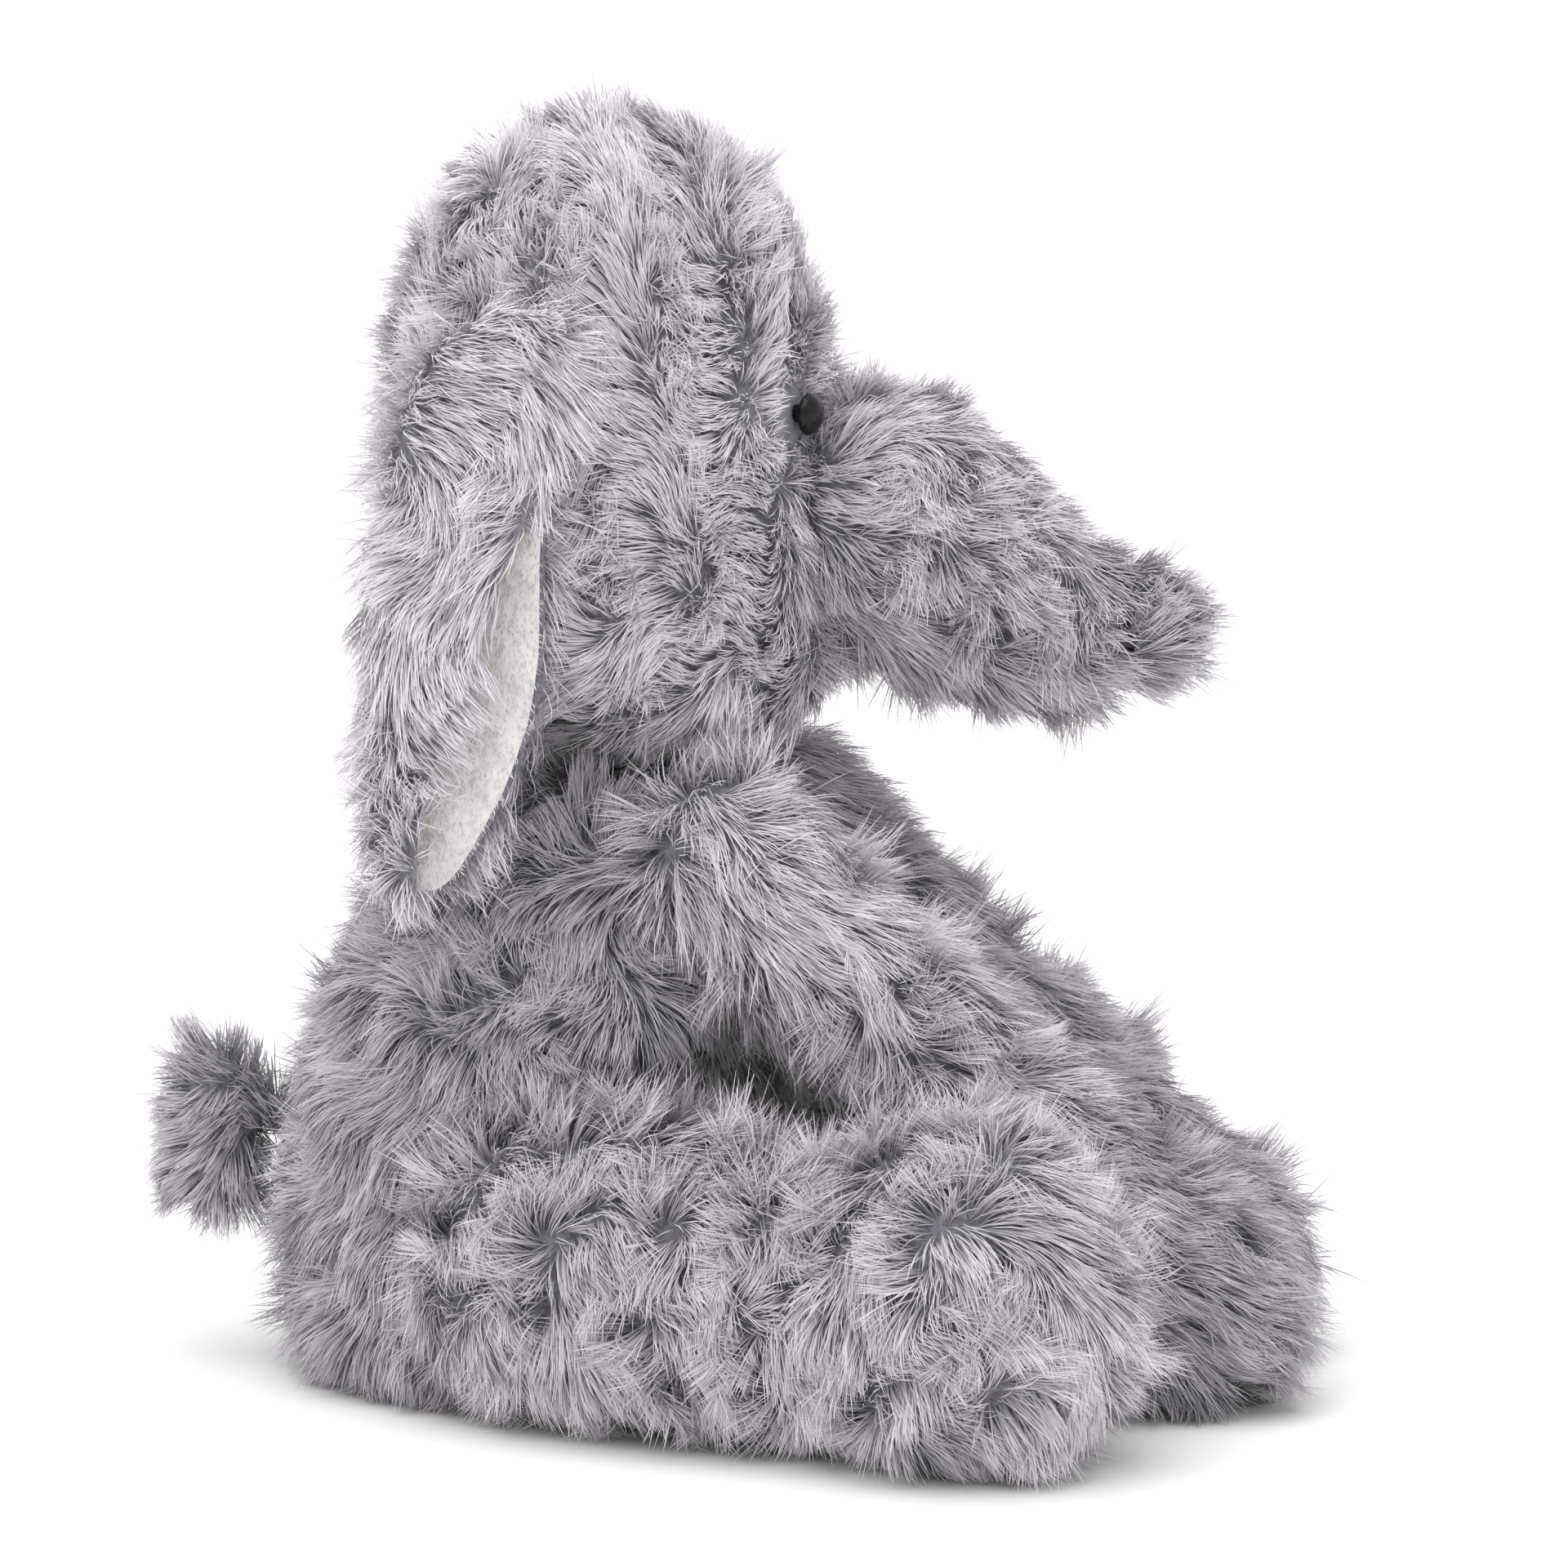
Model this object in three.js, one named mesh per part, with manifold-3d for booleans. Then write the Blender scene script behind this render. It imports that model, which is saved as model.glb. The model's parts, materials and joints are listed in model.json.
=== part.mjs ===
// Stuffed elephant, seated. Millimetres, +Z up. The animal faces -Y and its left side is +X.
// The origin is the middle of the flat patch of the seat, on the surface that it sits on.
// Every soft part is a sewn cover (a thin shell in panels) round its own stuffing.
import * as THREE from 'three';
import { mergeVertices } from 'three/addons/utils/BufferGeometryUtils.js';
import Module from 'manifold-3d';

const wasm = await Module();
wasm.setup();

// ---------------------------------------------------------------- driving dimensions
const COVER = 1.8; // thickness of the fur fabric's backing
const GAP = 0.3; // between two pieces that touch
const JOINT_GAP = 1.1; // between a moving part and its socket
const SIDES = 18; // facets round the head and the body
const LIMB_SIDES = 12; // facets round a limb
const SMALL_SIDES = 12; // facets round an eye, a washer or the tail's stem
const DOME_STEPS = [70, 35]; // degrees of the rings in a limb's round end
const FAR = 600; // larger than the whole animal

const X_AXIS = new THREE.Vector3(1, 0, 0);
const Y_AXIS = new THREE.Vector3(0, 1, 0);
const Z_AXIS = new THREE.Vector3(0, 0, 1);

// body: [height, half width, half depth, middle in Y]
const BODY_RINGS = [
  [0, 40, 39, 0],
  [4, 48, 45.5, 0],
  [14, 53.5, 49.5, 0],
  [34, 55, 50.5, 0],
  [60, 52, 48, -1],
  [78, 47, 45, -4],
  [92, 42, 42, -7.5],
  [106, 35, 36, -11],
  [118, 27, 28.5, -13.5],
  [127, 19, 20, -14],
];
const BELLY_FRONT = -22; // the belly panel is what lies in front of this
const SEAT_TOP = 9; // the seat panel is what lies below this
const PELLET_BAG = { centre: [0, 22, 15], half: [27, 17, 9.5] };
const BAG_WELL = { radius: 10, above: 5, sides: 10 }; // the opening in the stuffing under the bag

// head: the same four numbers, in the head's own frame, whose origin is the neck pivot
const NECK = { y: -14, z: 118, ball: 24, base: 127.3 };
const HEAD_RINGS = [
  [15.5, 20, 20, -5],
  [19, 28, 31, -5],
  [25, 35, 38, -5],
  [36, 39.5, 43, -3],
  [50, 42, 44.5, -1],
  [64, 42.5, 44, 0],
  [82, 42, 43.5, 0],
  [99, 40, 41.5, 0.5],
  [114, 35, 37, 1],
  [125, 28, 31, 1],
  [132, 20.5, 23.5, 1],
  [138, 10, 12, 0.5],
];
const HEAD_YAW = THREE.MathUtils.degToRad(8); // the head is turned to its left at rest
const GUSSET_HALF = 15; // half width of the strip over the crown
const GUSSET_BASE = 44; // the strip starts at this height above the pivot

// the eye is a dome on a post, square to the face at one head ring, looking very slightly up
const EYE = {
  x: 21, z: 82, ring: 6, radius: 4.6, proud: 0.4, rise: 3.6, post: 1.6, postLength: 11, up: 0.00004,
};
const EYE_DOME = [0, 22, 45, 68]; // degrees of the dome's rings
const EYE_HOLE = { radius: 2.1, length: 30 };
const WASHER = { radius: 6, thickness: 1.4, hole: 2, depth: 5 }; // depth is under the cover's outside
const WASHER_ROOM = { radius: 6.6, thickness: 2.2 };

// trunk, in the head's frame: [forward, height, radius] along its middle
const TRUNK_PIVOT = [-55, 58];
const TRUNK_BALL = 27.5;
const TRUNK_PATH = [
  [-60, 55, 26.6],
  [-68, 49.5, 24],
  [-76, 44, 21.2],
  [-84, 39.5, 18.4],
];
const TIP_PIVOT = [-91.5, 36.5];
const TIP_BALL = 16;
const TIP_PATH = [
  [-91.5, 36.5, 14.6],
  [-99, 34.8, 13.4],
  [-105, 36.5, 12.8],
];

// ear, in its own frame: origin at its top, -Z down its length, Y back, X outwards. One row for
// each height: [down, back of the fold, width of the outer half, width of the inner half]
const EAR_ROWS = [
  [0, -22, 15, 15],
  [8, -10, 31, 29],
  [20, -4, 37, 33],
  [36, -1, 33, 33],
  [52, 0, 26, 33],
  [66, 0.5, 21, 34],
  [80, 1, 17, 33],
  [94, 1.5, 13, 29],
  [106, 1, 10, 22],
  [114, -1, 8, 15],
  [117, -3, 6, 9],
];
const EAR = { x: 31.5, y: 45, z: 106, splay: 18, lean: 3, fold: 4.6, fur: 1.6, lining: 0.8 };

// limbs, in the frame of the joint: [forward, height, radius]. Splay turns a limb outwards, in degrees.
const SHOULDER = { x: 34, y: -40, z: 113, splay: { left: -5, right: -5 } };
const ARM_BALL = 17;
const ARM_PATH = [
  [0, 0, 17],
  [-26, -27, 17],
  [-51, -53, 17],
  [-75, -76, 18],
  [-94, -92.4, 20.4],
];
const HIP = { x: 46, y: -9, z: 33, splay: { left: 31, right: 25 } };
const LEG_BALL = 31;
const LEG_PATH = [
  [0, 0, 31],
  [-22, -1, 30],
  [-42, -3, 27.5],
  [-66, -4, 25],
];
const FOOT = { centre: [-90, 0.6], half: [30, 34, 34], soleFrom: -110 };

const TAIL = {
  y: 49.6, z: 53, radius: 4, length: 11, tuft: [0, 19, -4], tuftHalf: [9.5, 9, 18],
};

// directions a limb takes between its two limits, in degrees under the horizontal
const ARM_RANGE = [49, 14];
const LEG_RANGE = [4, -31];
const ROOM_REACH = 90; // how far from the pivot the room for a limb is cut

// ---------------------------------------------------------------- solids
function solidOf(geometry) {
  const bare = geometry.index ? geometry.clone() : geometry;
  bare.deleteAttribute('normal');
  bare.deleteAttribute('uv');
  const merged = mergeVertices(bare, 1e-4);
  const triVerts = new Uint32Array(merged.index.array);
  const vertProperties = new Float32Array(merged.attributes.position.array);
  return new wasm.Manifold(new wasm.Mesh({ numProp: 3, vertProperties, triVerts }));
}

function geometryOf(solid) {
  const mesh = solid.getMesh();
  const geometry = new THREE.BufferGeometry();
  const positions = new Float32Array(mesh.vertProperties);
  geometry.setAttribute('position', new THREE.BufferAttribute(positions, 3));
  geometry.setIndex(new THREE.BufferAttribute(new Uint32Array(mesh.triVerts), 1));
  return geometry;
}

// A closed skin over rings of points; the first and last rings are closed by fans.
function loft(rings) {
  const sides = rings[0].length;
  const points = rings.flat();
  const triangles = [];
  for (let r = 0; r + 1 < rings.length; r += 1) {
    for (let s = 0; s < sides; s += 1) {
      const a = r * sides + s;
      const b = r * sides + ((s + 1) % sides);
      triangles.push(a, b, b + sides, a, b + sides, a + sides);
    }
  }
  const middles = [rings[0], rings[rings.length - 1]].map((ring) => {
    const middle = new THREE.Vector3();
    ring.forEach((p) => middle.addScaledVector(p, 1 / sides));
    return middle;
  });
  const first = points.length;
  points.push(...middles);
  const lastRing = (rings.length - 1) * sides;
  for (let s = 0; s < sides; s += 1) {
    const next = (s + 1) % sides;
    triangles.push(first, next, s, first + 1, lastRing + s, lastRing + next);
  }
  const geometry = new THREE.BufferGeometry().setFromPoints(points);
  geometry.setIndex(triangles);
  return geometry;
}

// A form of level oval rings: [height, half width, half depth, middle in Y].
function ovalForm(rows) {
  const rings = rows.map(([z, width, depth, middle]) => {
    const ring = [];
    for (let s = 0; s < SIDES; s += 1) {
      const turn = (2 * Math.PI * s) / SIDES;
      ring.push(new THREE.Vector3(width * Math.cos(turn), middle + depth * Math.sin(turn), z));
    }
    return ring;
  });
  return loft(rings);
}

// The same geometry drawn in by a distance on every side, for the inside of a cover.
function drawnIn(geometry, distance) {
  geometry.computeBoundingBox();
  const size = geometry.boundingBox.getSize(new THREE.Vector3());
  const middle = geometry.boundingBox.getCenter(new THREE.Vector3());
  const smaller = geometry.clone();
  smaller.translate(-middle.x, -middle.y, -middle.z);
  const factors = size.toArray().map((length) => (length - 2 * distance) / length);
  smaller.scale(...factors);
  smaller.translate(middle.x, middle.y, middle.z);
  return smaller;
}

// A round limb in the YZ plane along [y, z, radius] rows, with a round end at each end.
function limbForm(path, inset) {
  const at = path.map(([y, z]) => new THREE.Vector3(0, y, z));
  const radii = path.map(([, , radius]) => radius - inset);
  const last = at.length - 1;
  const tangents = at.map((p, i) => {
    const next = at[Math.min(i + 1, last)].clone();
    return next.sub(at[Math.max(i - 1, 0)]).normalize();
  });
  const ringAt = (centre, tangent, radius) => {
    const up = new THREE.Vector3().crossVectors(tangent, X_AXIS);
    const ring = [];
    for (let s = 0; s < LIMB_SIDES; s += 1) {
      const turn = (2 * Math.PI * (s + 0.5)) / LIMB_SIDES;
      const out = X_AXIS.clone().multiplyScalar(Math.cos(turn)).addScaledVector(up, Math.sin(turn));
      ring.push(centre.clone().addScaledVector(out, radius));
    }
    return ring;
  };
  const dome = (i, sign) => DOME_STEPS.map((degrees) => {
    const angle = THREE.MathUtils.degToRad(degrees);
    const centre = at[i].clone().addScaledVector(tangents[i], sign * radii[i] * Math.sin(angle));
    return ringAt(centre, tangents[i], radii[i] * Math.cos(angle));
  });
  const rings = at.map((p, i) => ringAt(p, tangents[i], radii[i]));
  return loft([...dome(0, -1), ...rings, ...dome(last, 1).reverse()]);
}

function ball(radius, x, y, z) {
  return new THREE.SphereGeometry(radius, 16, 12).translate(x, y, z);
}

function oval(centre, half) {
  return new THREE.SphereGeometry(1, 14, 10).scale(...half).translate(...centre);
}

// Everything on one side of a plane square to an axis (0 is X, 1 is Y, 2 is Z).
function halfSpace(axis, from, sign) {
  const centre = new THREE.Vector3().setComponent(axis, from + (sign * FAR) / 2);
  return solidOf(new THREE.BoxGeometry(FAR, FAR, FAR).translate(...centre));
}

const above = (z) => halfSpace(2, z, 1);
const below = (z) => halfSpace(2, z, -1);
const behind = (y) => halfSpace(1, y, 1);
const inFrontOf = (y) => halfSpace(1, y, -1);
const leftOf = (x) => halfSpace(0, x, 1);
const rightOf = (x) => halfSpace(0, x, -1);

function moved(geometry, matrix) {
  return geometry.clone().applyMatrix4(matrix);
}

// ---------------------------------------------------------------- materials and nodes
const FUR = { color: 0x9d99a2, roughness: 0.95, metalness: 0 };
const LINING = { color: 0xe4dedd, roughness: 0.85, metalness: 0 };
const FILLING = { color: 0xf2f2ee, roughness: 1, metalness: 0 };
const PELLETS = { color: 0xdcdcd6, roughness: 0.8, metalness: 0 };
const EYE_PLASTIC = { color: 0x0d0d0f, roughness: 0.08, metalness: 0 };
const WASHER_PLASTIC = { color: 0xe8e8e4, roughness: 0.5, metalness: 0 };

function node(name, solid, look) {
  const mesh = new THREE.Mesh(geometryOf(solid), new THREE.MeshStandardMaterial(look));
  mesh.name = name;
  return mesh;
}

// ---------------------------------------------------------------- limb frames
function limbMatrix(place, side) {
  const matrix = new THREE.Matrix4().makeTranslation(side * place.x, place.y, place.z);
  const splay = side > 0 ? place.splay.left : -place.splay.right;
  return matrix.multiply(new THREE.Matrix4().makeRotationZ(THREE.MathUtils.degToRad(splay)));
}

// The room that a limb needs in the body: its ball, and a slab for every direction it can take.
function limbRoom(place, side, radius, [lowest, highest]) {
  const size = radius + JOINT_GAP;
  const low = THREE.MathUtils.degToRad(lowest);
  const high = THREE.MathUtils.degToRad(highest);
  const fromPivot = (angle, along, offset) => new THREE.Vector2(
    -along * Math.cos(angle) + offset * Math.sin(angle),
    -along * Math.sin(angle) - offset * Math.cos(angle),
  );
  const outline = new THREE.Shape([
    fromPivot(low, 0, size),
    fromPivot(high, 0, -size),
    fromPivot(high, ROOM_REACH, -size),
    fromPivot(low, ROOM_REACH, size),
  ]);
  const slab = new THREE.ExtrudeGeometry(outline, { depth: 2 * size, bevelEnabled: false, steps: 1 });
  slab.translate(0, 0, -size);
  slab.applyMatrix4(new THREE.Matrix4().makeBasis(Y_AXIS, Z_AXIS, X_AXIS));
  const room = solidOf(slab).add(solidOf(ball(size, 0, 0, 0)));
  return moved(geometryOf(room), limbMatrix(place, side));
}

// ---------------------------------------------------------------- body
function makeBody() {
  const form = ovalForm(BODY_RINGS);
  const rooms = [-1, 1].flatMap((side) => [
    solidOf(limbRoom(SHOULDER, side, ARM_BALL, ARM_RANGE)),
    solidOf(limbRoom(HIP, side, LEG_BALL, LEG_RANGE)),
  ]);
  const room = rooms.reduce((all, one) => all.add(one));
  const bag = solidOf(oval(PELLET_BAG.centre, PELLET_BAG.half));
  const bagRoom = solidOf(oval(PELLET_BAG.centre, PELLET_BAG.half.map((h) => h + GAP)));
  const [, bagY, bagZ] = PELLET_BAG.centre;
  const well = BAG_WELL;
  const bagWell = new THREE.CylinderGeometry(well.radius, well.radius, bagZ + well.above, well.sides);
  bagWell.rotateX(Math.PI / 2).translate(0, bagY, (bagZ - well.above) / 2);
  const cover = solidOf(form).subtract(solidOf(drawnIn(form, COVER))).subtract(room);
  const upper = cover.intersect(above(SEAT_TOP + GAP / 2));
  const sides = upper.intersect(behind(BELLY_FRONT + GAP / 2));
  const stuffing = solidOf(drawnIn(form, COVER + GAP)).subtract(room).subtract(bagRoom)
    .subtract(solidOf(bagWell));
  return [
    node('body_side_left', sides.intersect(leftOf(GAP / 2)), FUR),
    node('body_side_right', sides.intersect(rightOf(-GAP / 2)), FUR),
    node('belly_panel', upper.intersect(inFrontOf(BELLY_FRONT - GAP / 2)), FUR),
    node('seat_panel', cover.intersect(below(SEAT_TOP - GAP / 2)), FUR),
    node('body_stuffing', stuffing, FILLING),
    node('pellet_bag', bag, PELLETS),
  ];
}

// ---------------------------------------------------------------- neck and head
function makeNeck() {
  const dome = solidOf(ball(NECK.ball, 0, NECK.y, NECK.z)).intersect(above(NECK.base));
  return node('neck_stuffing', dome, FILLING);
}

// The eye's frame: square to the face where the eye sits.
function eyeMatrix(side) {
  const [, width, depth, middle] = HEAD_RINGS[EYE.ring];
  const x = side * EYE.x;
  const y = middle - depth * Math.sqrt(1 - (x / width) ** 2);
  const outward = new THREE.Vector3(x / width ** 2, (y - middle) / depth ** 2, EYE.up).normalize();
  const turn = new THREE.Quaternion().setFromUnitVectors(Z_AXIS, outward);
  const place = new THREE.Vector3(x, y, EYE.z);
  return new THREE.Matrix4().compose(place, turn, new THREE.Vector3(1, 1, 1));
}

function eyeSolid(side) {
  const { radius, proud, rise, post, postLength } = EYE;
  const profile = [new THREE.Vector2(0, -postLength), new THREE.Vector2(post, -postLength)];
  profile.push(new THREE.Vector2(post, proud));
  for (const degrees of EYE_DOME) {
    const angle = THREE.MathUtils.degToRad(degrees);
    profile.push(new THREE.Vector2(radius * Math.cos(angle), proud + rise * Math.sin(angle)));
  }
  profile.push(new THREE.Vector2(0, proud + rise));
  const geometry = new THREE.LatheGeometry(profile, SMALL_SIDES).rotateX(Math.PI / 2);
  return solidOf(moved(geometry, eyeMatrix(side)));
}

function washerSolid(side) {
  const { radius, thickness, hole, depth } = WASHER;
  const profile = [[hole, 0], [radius, 0], [radius, thickness], [hole, thickness], [hole, 0]];
  const outline = profile.map(([r, z]) => new THREE.Vector2(r, z - depth));
  const geometry = new THREE.LatheGeometry(outline, SMALL_SIDES).rotateX(Math.PI / 2);
  return solidOf(moved(geometry, eyeMatrix(side)));
}

// The holes that an eye's post and washer need in the head.
function eyeRoom(side) {
  const hole = ({ radius, length }) => {
    const geometry = new THREE.CylinderGeometry(radius, radius, length, SMALL_SIDES);
    return geometry.rotateX(Math.PI / 2);
  };
  const postHole = hole(EYE_HOLE);
  const washerHole = hole({ radius: WASHER_ROOM.radius, length: WASHER_ROOM.thickness });
  washerHole.translate(0, 0, -WASHER.depth + WASHER.thickness / 2);
  return {
    post: solidOf(moved(postHole, eyeMatrix(side))),
    washer: solidOf(moved(washerHole, eyeMatrix(side))),
  };
}

function makeHead() {
  const form = ovalForm(HEAD_RINGS);
  const [forward, height] = TRUNK_PIVOT;
  const neckRoom = solidOf(ball(NECK.ball + JOINT_GAP, 0, 0, 0));
  const trunkRoom = solidOf(ball(TRUNK_BALL + JOINT_GAP, 0, forward, height));
  const room = neckRoom.add(trunkRoom);
  const eyes = [eyeRoom(-1), eyeRoom(1)];
  let cover = solidOf(form).subtract(solidOf(drawnIn(form, COVER))).subtract(room);
  let stuffing = solidOf(drawnIn(form, COVER + GAP)).subtract(room);
  for (const { post, washer } of eyes) {
    cover = cover.subtract(post);
    stuffing = stuffing.subtract(post).subtract(washer);
  }
  const strip = leftOf(-GUSSET_HALF).intersect(rightOf(GUSSET_HALF)).intersect(above(GUSSET_BASE));
  const around = GUSSET_HALF + GAP;
  const stripRoom = leftOf(-around).intersect(rightOf(around)).intersect(above(GUSSET_BASE - GAP));
  const sides = cover.subtract(stripRoom);
  return [
    node('head_side_left', sides.intersect(leftOf(GAP / 2)), FUR),
    node('head_side_right', sides.intersect(rightOf(-GAP / 2)), FUR),
    node('head_gusset', cover.intersect(strip), FUR),
    node('head_stuffing', stuffing, FILLING),
    node('eye_left', eyeSolid(1), EYE_PLASTIC),
    node('eye_right', eyeSolid(-1), EYE_PLASTIC),
    node('eye_washer_left', washerSolid(1), WASHER_PLASTIC),
    node('eye_washer_right', washerSolid(-1), WASHER_PLASTIC),
  ];
}

// ---------------------------------------------------------------- trunk
function makeTrunk() {
  const path = [[...TRUNK_PIVOT, TRUNK_BALL], ...TRUNK_PATH, [...TIP_PIVOT, TIP_BALL]];
  const outer = solidOf(limbForm(path, 0));
  const cover = outer.subtract(solidOf(limbForm(path, COVER)));
  const tipRoom = solidOf(ball(TIP_BALL + JOINT_GAP, 0, ...TIP_PIVOT));
  const tipOuter = solidOf(limbForm(TIP_PATH, 0)).subtract(tipRoom);
  const tipStuffing = solidOf(limbForm(TIP_PATH, COVER + GAP)).subtract(tipRoom);
  const tipCover = tipOuter.subtract(solidOf(limbForm(TIP_PATH, COVER)));
  return [
    node('trunk_cover_left', cover.intersect(leftOf(GAP / 2)), FUR),
    node('trunk_cover_right', cover.intersect(rightOf(-GAP / 2)), FUR),
    node('trunk_stuffing', solidOf(limbForm(path, COVER + GAP)), FILLING),
    node('trunk_tip_cover', tipCover, FUR),
    node('trunk_tip_stuffing', tipStuffing, FILLING),
  ];
}

// ---------------------------------------------------------------- ears
// The section of a folded ear at one height, from the front edge of the outer half, round the fold
// at the back, to the front edge of the inner half. side * X is outwards.
function earSection(side, [down, back, outer, inner], depth) {
  const { fold, lean } = EAR;
  const radius = fold - depth;
  const middle = down * Math.tan(THREE.MathUtils.degToRad(lean)) + fold;
  const points = [];
  const add = (x, y) => points.push(new THREE.Vector3(side * (middle + x), back - fold + y, -down));
  const edge = (width) => Math.min(-1, fold - width) + depth / 2;
  for (const share of [1, 0.5]) add(radius, edge(outer) * share);
  for (const degrees of [0, 45, 90, 135, 180]) {
    const angle = THREE.MathUtils.degToRad(degrees);
    add(radius * Math.cos(angle), radius * Math.sin(angle));
  }
  for (const share of [0.5, 1]) add(-radius, edge(inner) * share);
  return points;
}

// A closed sheet between two grids of points with the same rows, round all four edges.
function sheetBetween(front, back) {
  const rows = front.length;
  const columns = front[0].length;
  const points = [...front.flat(), ...back.flat()];
  const triangles = [];
  const quad = (a, b, c, d) => triangles.push(a, b, c, a, c, d);
  const frontAt = (r, c) => r * columns + c;
  const backAt = (r, c) => rows * columns + r * columns + c;
  for (let r = 0; r + 1 < rows; r += 1) {
    for (let c = 0; c + 1 < columns; c += 1) {
      quad(frontAt(r, c), frontAt(r, c + 1), frontAt(r + 1, c + 1), frontAt(r + 1, c));
      quad(backAt(r, c), backAt(r + 1, c), backAt(r + 1, c + 1), backAt(r, c + 1));
    }
    quad(frontAt(r, 0), frontAt(r + 1, 0), backAt(r + 1, 0), backAt(r, 0));
    const c = columns - 1;
    quad(frontAt(r + 1, c), frontAt(r, c), backAt(r, c), backAt(r + 1, c));
  }
  for (let c = 0; c + 1 < columns; c += 1) {
    quad(frontAt(0, c + 1), frontAt(0, c), backAt(0, c), backAt(0, c + 1));
    const r = rows - 1;
    quad(frontAt(r, c), frontAt(r, c + 1), backAt(r, c + 1), backAt(r, c));
  }
  const geometry = new THREE.BufferGeometry().setFromPoints(points);
  geometry.setIndex(triangles);
  return solidOf(geometry);
}

// One layer of a folded ear, between two depths under its outside.
function earSheet(side, from, to) {
  const outside = EAR_ROWS.map((row) => earSection(side, row, from));
  const inside = EAR_ROWS.map((row) => earSection(side, row, to));
  return side > 0 ? sheetBetween(inside, outside) : sheetBetween(outside, inside);
}

function makeEar(side, name) {
  const { fur, lining } = EAR;
  return [
    node(`ear_fur_${name}`, earSheet(side, 0, fur), FUR),
    node(`ear_lining_${name}`, earSheet(side, fur + GAP, fur + GAP + lining), LINING),
  ];
}

// ---------------------------------------------------------------- limbs
function makeArm(side, name) {
  const outerForm = solidOf(limbForm(ARM_PATH, 0));
  const cover = outerForm.subtract(solidOf(limbForm(ARM_PATH, COVER)));
  const outer = side > 0 ? leftOf(GAP / 2) : rightOf(-GAP / 2);
  const inner = side > 0 ? rightOf(-GAP / 2) : leftOf(GAP / 2);
  return [
    node(`arm_outer_${name}`, cover.intersect(outer), FUR),
    node(`arm_inner_${name}`, cover.intersect(inner), FUR),
    node(`arm_stuffing_${name}`, solidOf(limbForm(ARM_PATH, COVER + GAP)), FILLING),
  ];
}

function makeLeg(side, name) {
  const [forward, up] = FOOT.centre;
  const footAt = (inset) => solidOf(oval([0, forward, up], FOOT.half.map((h) => h - inset)));
  const footRoom = footAt(-GAP);
  const legCover = solidOf(limbForm(LEG_PATH, 0)).subtract(solidOf(limbForm(LEG_PATH, COVER)));
  const cover = legCover.subtract(footRoom);
  const outer = side > 0 ? leftOf(GAP / 2) : rightOf(-GAP / 2);
  const inner = side > 0 ? rightOf(-GAP / 2) : leftOf(GAP / 2);
  const legStuffing = solidOf(limbForm(LEG_PATH, COVER + GAP)).subtract(footRoom);
  const onFloor = above(-HIP.z);
  const footCover = footAt(0).intersect(onFloor).subtract(footAt(COVER));
  const sole = inFrontOf(FOOT.soleFrom - GAP / 2);
  const upper = behind(FOOT.soleFrom + GAP / 2);
  return [
    node(`leg_outer_${name}`, cover.intersect(outer), FUR),
    node(`leg_inner_${name}`, cover.intersect(inner), FUR),
    node(`leg_stuffing_${name}`, legStuffing, FILLING),
    node(`foot_cover_${name}`, footCover.intersect(upper), FUR),
    node(`foot_sole_${name}`, footCover.intersect(sole), FUR),
    node(`foot_stuffing_${name}`, footAt(COVER + GAP), FILLING),
  ];
}

// ---------------------------------------------------------------- tail
function makeTail() {
  const stem = new THREE.CylinderGeometry(TAIL.radius, TAIL.radius, TAIL.length, SMALL_SIDES);
  stem.translate(0, TAIL.length / 2 + GAP, 0);
  const tuftRoom = solidOf(oval(TAIL.tuft, TAIL.tuftHalf.map((h) => h + GAP)));
  return [
    node('tail_stem', solidOf(stem).subtract(tuftRoom), FUR),
    node('tail_tuft', solidOf(oval(TAIL.tuft, TAIL.tuftHalf)), FUR),
  ];
}

// ---------------------------------------------------------------- assembly
function placed(children, matrix) {
  const group = new THREE.Group();
  group.add(...children);
  group.applyMatrix4(matrix);
  return group;
}

const elephant = new THREE.Group();
elephant.add(...makeBody(), makeNeck());

const headMatrix = new THREE.Matrix4().makeTranslation(0, NECK.y, NECK.z);
headMatrix.multiply(new THREE.Matrix4().makeRotationZ(HEAD_YAW));
const head = placed([...makeHead(), ...makeTrunk()], headMatrix);
for (const [side, name] of [[1, 'left'], [-1, 'right']]) {
  const earPlace = new THREE.Matrix4().makeTranslation(side * EAR.x, EAR.y, EAR.z);
  earPlace.multiply(new THREE.Matrix4().makeRotationZ(side * THREE.MathUtils.degToRad(EAR.splay)));
  head.add(placed(makeEar(side, name), earPlace));
  elephant.add(placed(makeArm(side, name), limbMatrix(SHOULDER, side)));
  elephant.add(placed(makeLeg(side, name), limbMatrix(HIP, side)));
}
elephant.add(head);
elephant.add(placed(makeTail(), new THREE.Matrix4().makeTranslation(0, TAIL.y, TAIL.z)));

export default elephant;
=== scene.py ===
"""A seated plush elephant: stuffed skins with a long pile of strands, velvet-lined ears and black eyes."""

import json
import math
from dataclasses import dataclass

import bmesh
import bpy
import numpy as np
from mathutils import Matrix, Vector
from mathutils.bvhtree import BVHTree
from mathutils.kdtree import KDTree

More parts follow.
